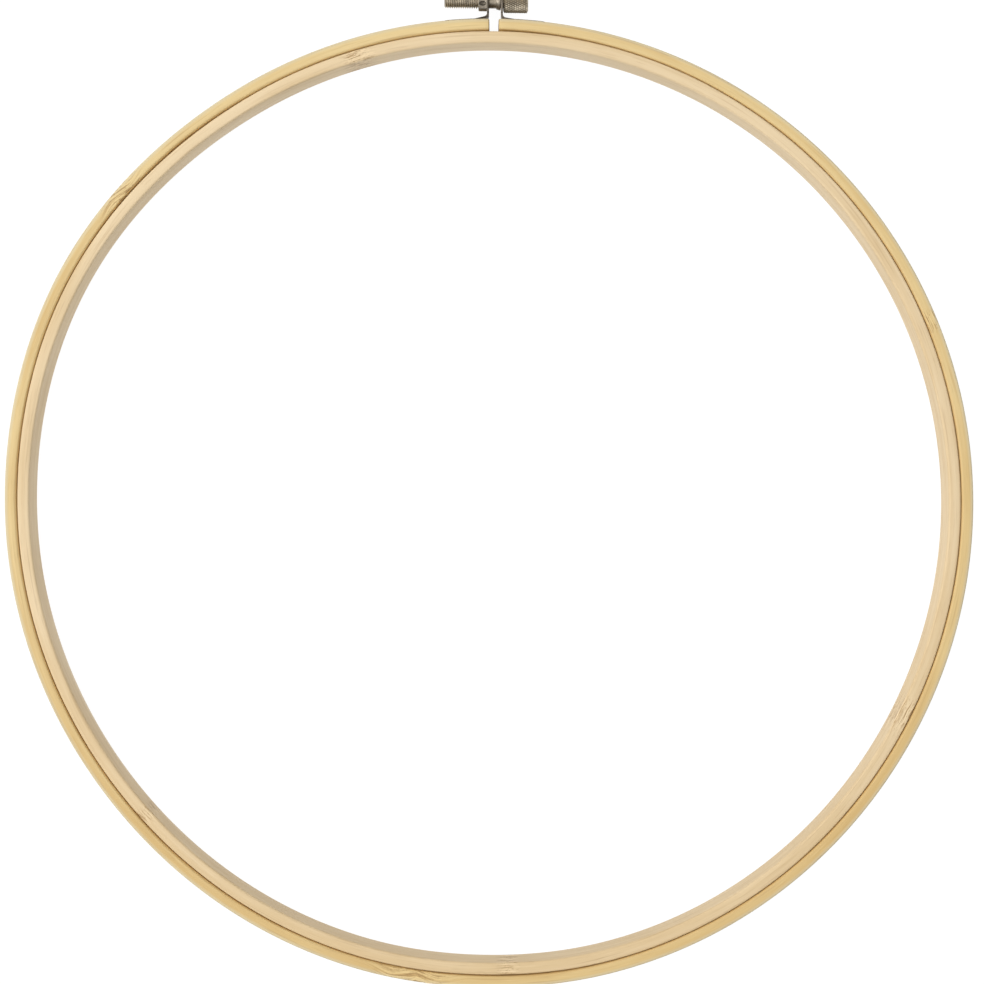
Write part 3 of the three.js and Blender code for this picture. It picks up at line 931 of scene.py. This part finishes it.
def knurl(clamp, radius, from_x, to_x, sides, rows):
    """Presses two hands of grooves into the barrel's grid of points, leaving small pyramids."""
    row = (to_x - from_x) / rows
    step = 2 * pi / sides

    def press(test, depth):
        def pressed(middle, way):
            turn = atan2(middle.z - screw_axis.z, middle.y - screw_axis.y)
            along, around = round((middle.x - from_x) / row), round(turn / step)
            return 0 <= along <= rows and test(along, around)

        pick("VERT", pressed)
        scale = 1 - depth / radius
        stretch((1, scale, scale), ((from_x + to_x) / 2, screw_axis.y, screw_axis.z))

    press(lambda along, around: (along + around) % 2, clamp.knurl_depth / 2)
    press(lambda along, around: around % 2 and along % 2, clamp.knurl_depth)
    press(lambda along, around: not around % 2 and (along + around) % 4 == 2, clamp.knurl_depth)
    pick("FACE", lambda middle, way: from_x < middle.x < to_x)
    bpy.ops.mesh.quads_convert_to_tris(quad_method="SHORTEST_DIAGONAL")


class HOOP_OT_thumb_screw(bpy.types.Operator):
    """Turns the thumb screw, cuts its thread and knurls its knob"""

    bl_idname = "hoop.thumb_screw"
    bl_label = "Thumb screw"

    def execute(self, context):
        clamp, look = context.scene.hoop_clamp, context.scene.hoop_look
        low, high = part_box("thumb_screw")
        tip, knob_end = low.x, high.x
        knob_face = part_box("screw_bracket")[0].x + clamp.sheet + 0.1 * MM
        knob_radius = box_reach("thumb_screw").z
        root = clamp.thread_radius - clamp.thread_depth
        overlap, shank_chamfer, chamfer, point = 0.1 * MM, 0.2 * MM, 0.4 * MM, 0.5 * MM
        ridge = helical_ridge(clamp, tip, -clamp.shank_end)
        blank = turned("thread_blank", [
            (tip, clamp.thread_radius - point), (tip + point, clamp.thread_radius),
            (-clamp.shank_end + overlap, clamp.thread_radius)], sides=50)
        combine(ridge, blank, "INTERSECT")
        screw = turned("thumb_screw_nickel", [
            (tip, root - overlap), (tip + overlap, root), (-clamp.shank_end, root),
            (-clamp.shank_end, clamp.shank_radius - shank_chamfer),
            (-clamp.shank_end + shank_chamfer, clamp.shank_radius),
            (knob_face + chamfer, clamp.shank_radius)], sides=64)
        sides, rows = 4 * clamp.knurl_count, 4 * clamp.knurl_rows
        ends = knob_radius - chamfer - clamp.knurl_depth
        knob = turned("knob_blank", [
            (knob_face, ends), (knob_face + chamfer, knob_radius),
            (knob_end - chamfer, knob_radius), (knob_end, ends)], sides)
        take(knob)
        bpy.ops.object.mode_set(mode="EDIT")
        middle_x, rim, recess = (knob_face + knob_end) / 2, 0.9 * MM, 0.25 * MM
        pick("EDGE", lambda middle, way: abs(way.x) > 0.99 and abs(middle.x - middle_x) < 0.1 * MM)
        bpy.ops.mesh.subdivide(number_cuts=rows - 1)
        knurl(clamp, knob_radius, knob_face + chamfer, knob_end - chamfer, sides, rows)
        pick("FACE", lambda middle, way: middle.x > knob_end - 0.01 * MM)
        bpy.ops.mesh.inset(thickness=rim, depth=0)
        bpy.ops.mesh.inset(thickness=recess, depth=-recess)
        tidy_shell()
        fresh()
        combine(screw, knob, "UNION")
        combine(screw, ridge, "UNION")
        smooth(screw, 22)
        # Painted shade for the screw's hollows and shaded sides.
        hollows = screw_shade_and_grime(clamp)
        metal = plated("screw_nickel", look, look.screw_metal, 0.4, seed=11, hollows=hollows)
        finish_piece(screw, [metal], "screw", ["thumb_screw"])
        return {"FINISHED"}


class HOOP_OT_collar(bpy.types.Operator):
    """Turns the collar that keeps the screw in its bracket"""

    bl_idname = "hoop.collar"
    bl_label = "Retaining collar"

    def execute(self, context):
        clamp, look = context.scene.hoop_clamp, context.scene.hoop_look
        low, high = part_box("retaining_collar")
        radius = box_reach("retaining_collar").z
        bore = clamp.shank_radius + 0.1 * MM
        lip = bore + 0.15 * MM
        stations = [(low.x, bore), (low.x, lip), (high.x - 0.3 * MM, radius),
                    (high.x, radius - 0.06 * MM), (high.x, bore), (low.x, bore)]
        collar = turned("retaining_collar_swaged", stations, sides=48)
        soften(collar, FINE_EDGE)
        smooth(collar, 40)
        metal = plated("collar_nickel", look, look.sheet_metal, 0.45, seed=31)
        finish_piece(collar, [metal], "screw", ["retaining_collar"])
        return {"FINISHED"}


class HOOP_OT_nut(bpy.types.Operator):
    """Makes the hexagon nut that the screw runs in"""

    bl_idname = "hoop.nut"
    bl_label = "Clamp nut"

    def execute(self, context):
        clamp, look = context.scene.hoop_clamp, context.scene.hoop_look
        low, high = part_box("clamp_nut")
        corner = box_reach("clamp_nut").y
        thick, chamfer, hole = 2.65 * MM, 0.3 * MM, 2.2 * MM
        fresh()
        middle = (high.x - thick / 2, screw_axis.y, screw_axis.z)
        bpy.ops.mesh.primitive_cylinder_add(
            vertices=6, radius=corner, depth=thick, location=middle, rotation=(0, pi / 2, 0)
        )
        nut = open_up("clamp_nut_hexagon")
        fresh()
        stations = [(high.x - thick - 0.6 * chamfer, corner - 2 * chamfer),
                    (high.x - thick + 1.2 * chamfer, corner + chamfer),
                    (high.x - 0.6 * chamfer, corner + 0.4 * chamfer),
                    (high.x + 0.6 * chamfer, corner - 1.2 * chamfer)]
        combine(nut, turned("nut_blank", stations, sides=64), "INTERSECT")
        bore = [(low.x - MM, hole), (high.x + MM, hole)]
        combine(nut, turned("nut_drill", bore, sides=48), "DIFFERENCE")
        soften(nut, FINE_EDGE)
        smooth(nut)
        metal = plated("nut_nickel", look, look.screw_metal, 0.4, seed=41)
        finish_piece(nut, [metal], "split_ring", ["clamp_nut"])
        return {"FINISHED"}


def screw_shade_and_grime(clamp):
    """Painted shade on the thumb screw: darker in its thread's roots and its knurling's grooves, on
    the side towards the ring, by the nut bracket and at the knob's end; the plain shank is also a
    little darker all round.
    """
    knob_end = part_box("thumb_screw")[1].x
    knob_radius = box_reach("thumb_screw").z
    knob_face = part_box("screw_bracket")[0].x + clamp.sheet

    def shade_and_grime(finish, x, y, z):
        out = finish.distance(y - screw_axis.y, z - screw_axis.z)
        on_thread = 1 - finish.ramp(x, -clamp.shank_end - 0.1 * MM, -clamp.shank_end)
        root = clamp.thread_radius - clamp.thread_depth
        # Painted shade in the thread's roots.
        between = 1 - finish.ramp(out, root + 0.03 * MM, clamp.thread_radius - 0.12 * MM)
        on_barrel = finish.ramp(x, knob_face + 0.3 * MM, knob_face + 0.5 * MM) * (
            1 - finish.ramp(x, knob_end - 0.5 * MM, knob_end - 0.3 * MM))
        # Painted shade in the knurling's grooves.
        groove = 1 - finish.ramp(out, knob_radius - clamp.knurl_depth, knob_radius - 0.08 * MM)
        on_shank = (1 - on_thread) * (1 - finish.ramp(x, knob_face - MM, knob_face))
        # Painted shade on the side towards the ring and beside the nut bracket.
        below = 1 - finish.ramp(y, screw_axis.y - 1.8 * MM, screw_axis.y - 0.6 * MM)
        at_nut = 1 - finish.ramp(x, -0.8 * MM, 0.4 * MM)
        on_shank = on_shank * (below * 0.3 + at_nut * 0.2 + 0.3)
        # Painted shade towards the knob's end.
        at_end = finish.ramp(x, knob_end - 2 * MM, knob_end - 0.5 * MM)
        on_knob = groove * 0.45 + below * 0.12 + at_end * 0.1
        return between * on_thread * 0.45 + on_knob * on_barrel + on_shank

    return shade_and_grime


def bracket_shade_and_grime(clamp):
    """Painted shade on the brackets: the ear's dents painted dark, and the angle at the ring
    darkened as if in its shadow, most on the nut's side.
    """
    nut_middle = box_middle("clamp_nut").x

    def shade_and_grime(finish, x, y, z):
        # Painted shade: the ear's dents are painted dark.
        along = (x - nut_middle) / (DENT.x / 2)
        across = (finish.size(y - screw_axis.y) - DENT_SPACING / 2) / (DENT.y / 2)
        dent = 1 - finish.ramp(finish.distance(along, across), 0.8, 1.1)
        # Painted shade: darker in the angle at the ring near the bend, most on the nut's side.
        out = finish.distance(x, y - ring_middle.y)
        near_ring = 1 - finish.ramp(out, outer_radius + 0.8 * MM, outer_radius + 2.8 * MM)
        near_bend = 1 - finish.ramp(finish.size(x), 6.5 * MM, 9.5 * MM)
        on_nut_side = 1 - finish.ramp(x, -MM, MM)
        return finish.most(dent * 0.7, near_ring * near_bend * (on_nut_side * 0.65 + 0.15))

    return shade_and_grime


def plated(name, look, metal, roughness, seed, hollows=None):
    """Dulled nickel plate: cloudy tarnish, rubbed scratches, and painted shade in the piece's
    hollows and on its shaded sides.
    """
    finish = Finish(name)
    place = finish.add("ShaderNodeTexCoord", {}, {}, output=3)
    shifted = finish.add("ShaderNodeMapping", {}, {"Vector": place, "Location": (seed * MM, 0, 0)})
    clouds = finish.noise(shifted, 420, 3, 0.6)
    grime = finish.noise(shifted, 1500, 3, 0.65)
    stretched = finish.add("ShaderNodeMapping", {}, {"Vector": shifted, "Scale": (1, 9, 2.2)})
    scratches = finish.noise(stretched, 1600, 2, 0.6)
    dull = finish.ramp(clouds * 0.6 + grime * 0.4, 0.42, 0.68)
    body = finish.mix(dull * 0.5, metal, look.tarnish)
    body = finish.mix(finish.ramp(scratches, 0.6, 0.75) * 0.25, body, [c * 1.25 for c in metal])
    # Painted shade: the piece's mask darkens it towards a dark tarnish colour.
    if hollows:
        shade_and_grime = hollows(finish, *finish.parts(place))
        body = finish.mix(shade_and_grime, body, [c * 0.3 for c in look.tarnish])
    pitted = finish.bump(grime * 0.5 + scratches * 0.5, 0.02 * MM, 0.5)
    return finish.surface(
        base_color=body,
        metallic=0.92 - dull * 0.15,
        roughness=roughness + dull * 0.18 - finish.ramp(scratches, 0.55, 0.8) * 0.08,
        normal=pitted,
    )


# Stage, its lengths in metres and its lamp in watts

IMAGE_SIZE = 984
FOCAL_PIXELS = 1663.9
CAMERA_HEIGHT = 533 * MM
CAMERA_OFFSET = Vector((0.903 * MM, 3.441 * MM, 0))
CAMERA_ROLL = radians(0.69)
FLOOR_SIZE, FLOOR_GLOW = 12, 0.96
BACKDROP_RADIUS, BACKDROP_GLOW = 9, 0.9
SOFTBOX_PLACE = Vector((-1.92, 0.35, 2.3))
SOFTBOX_SIZE, SOFTBOX_POWER, SOFTBOX_TINT = 3, 62, (1, 0.985, 0.96)


def softbox():
    """One large soft lamp high on the left, aimed at the hoop."""
    data = bpy.data.lights.new("key_softbox", "AREA")
    data.shape, data.size = "DISK", SOFTBOX_SIZE
    data.energy, data.color = SOFTBOX_POWER, SOFTBOX_TINT
    light = bpy.data.objects.new("key_softbox", data)
    light.location = SOFTBOX_PLACE
    light.rotation_euler = (ring_middle - SOFTBOX_PLACE).to_track_quat("-Z", "Y").to_euler()
    bpy.context.scene.collection.objects.link(light)


def studio_walls():
    """Soft light from all round: a pale ceiling, darker walls and a white table below."""
    world = bpy.data.worlds.new("studio")
    world.use_nodes = True
    tree = world.node_tree
    place = tree.nodes.new("ShaderNodeTexCoord")
    split = tree.nodes.new("ShaderNodeSeparateXYZ")
    height = tree.nodes.new("ShaderNodeMapRange")
    height.inputs["From Min"].default_value = -1
    ramp = tree.nodes.new("ShaderNodeValToRGB")
    stops = ramp.color_ramp.elements
    for at, grey in ((0, 1), (0.47, 0.95), (0.53, 0.14), (0.75, 0.28), (1, 0.46)):
        stop = stops.new(at)
        stop.color = (grey, grey, grey, 1)
    stops.remove(stops[0])
    stops.remove(stops[-1])
    tree.links.new(place.outputs["Generated"], split.inputs[0])
    tree.links.new(split.outputs["Z"], height.inputs["Value"])
    tree.links.new(height.outputs[0], ramp.inputs[0])
    tree.links.new(ramp.outputs[0], tree.nodes["Background"].inputs["Color"])
    return world


def set_pale(stage, brightness):
    """Makes a floor or backdrop plain and pale, seen by the camera and by nothing else."""
    fresh()
    finish = Finish(stage.name)
    stage.data.materials.append(finish.surface(
        base_color=(0.1, 0.1, 0.1, 1), roughness=0.9, emission_color=(1, 1, 1, 1),
        emission_strength=brightness, specular_ior_level=0.0))
    stage.visible_glossy = stage.visible_diffuse = False


class HOOP_OT_stage(bpy.types.Operator):
    """Sets the pale floor and backdrop, the soft studio light and the camera"""

    bl_idname = "hoop.stage"
    bl_label = "Stage"

    def execute(self, context):
        scene = context.scene
        fresh()
        bpy.ops.mesh.primitive_plane_add(size=FLOOR_SIZE, location=(0, 0, 0))
        set_pale(open_up("pale_floor"), FLOOR_GLOW)
        fresh()
        bpy.ops.mesh.primitive_uv_sphere_add(segments=64, ring_count=32, radius=BACKDROP_RADIUS)
        dome = open_up("pale_backdrop")
        bpy.ops.mesh.flip_normals()
        set_pale(dome, BACKDROP_GLOW)
        dome.visible_shadow = False
        scene.world = studio_walls()
        softbox()
        scene.view_settings.view_transform = "Standard"
        camera = bpy.data.objects.new("photo_camera", bpy.data.cameras.new("photo_camera"))
        camera.data.angle = 2 * atan(IMAGE_SIZE / 2 / FOCAL_PIXELS)
        camera.data.clip_start, camera.data.clip_end = 0.01, 20
        camera.location = Vector((0, ring_middle.y, CAMERA_HEIGHT)) + CAMERA_OFFSET
        camera.rotation_euler = (0, 0, CAMERA_ROLL)
        scene.collection.objects.link(camera)
        scene.camera = camera
        return {"FINISHED"}


OPERATORS = (
    HOOP_OT_inner_ring,
    HOOP_OT_outer_ring,
    HOOP_OT_brackets,
    HOOP_OT_rivets,
    HOOP_OT_thumb_screw,
    HOOP_OT_collar,
    HOOP_OT_nut,
    HOOP_OT_stage,
)


class HOOP_PT_panel(bpy.types.Panel):
    """Lists the hoop's pieces and their sizes"""

    bl_idname = "HOOP_PT_panel"
    bl_label = "Embroidery hoop"
    bl_space_type = "VIEW_3D"
    bl_region_type = "UI"
    bl_category = "Hoop"

    def draw(self, context):
        for group in (context.scene.hoop_rings, context.scene.hoop_clamp, context.scene.hoop_look):
            column = self.layout.column(align=True)
            for name in type(group).__annotations__:
                column.prop(group, name)
        for operator in OPERATORS:
            self.layout.operator(operator.bl_idname)


GROUPS = {"hoop_rings": HoopRings, "hoop_clamp": HoopClamp, "hoop_look": HoopLook}


def register():
    for name, group in GROUPS.items():
        bpy.utils.register_class(group)
        setattr(bpy.types.Scene, name, PointerProperty(type=group))
    for one in (*OPERATORS, HOOP_PT_panel):
        bpy.utils.register_class(one)


def unregister():
    for one in (*OPERATORS, HOOP_PT_panel):
        bpy.utils.unregister_class(one)
    for name, group in GROUPS.items():
        delattr(bpy.types.Scene, name)
        bpy.utils.unregister_class(group)


def main():
    register()
    bpy.ops.hoop.inner_ring()
    bpy.ops.hoop.outer_ring()
    bpy.ops.hoop.brackets()
    bpy.ops.hoop.rivets()
    bpy.ops.hoop.thumb_screw()
    bpy.ops.hoop.collar()
    bpy.ops.hoop.nut()
    bpy.ops.hoop.stage()


if __name__ == "__main__":
    main()
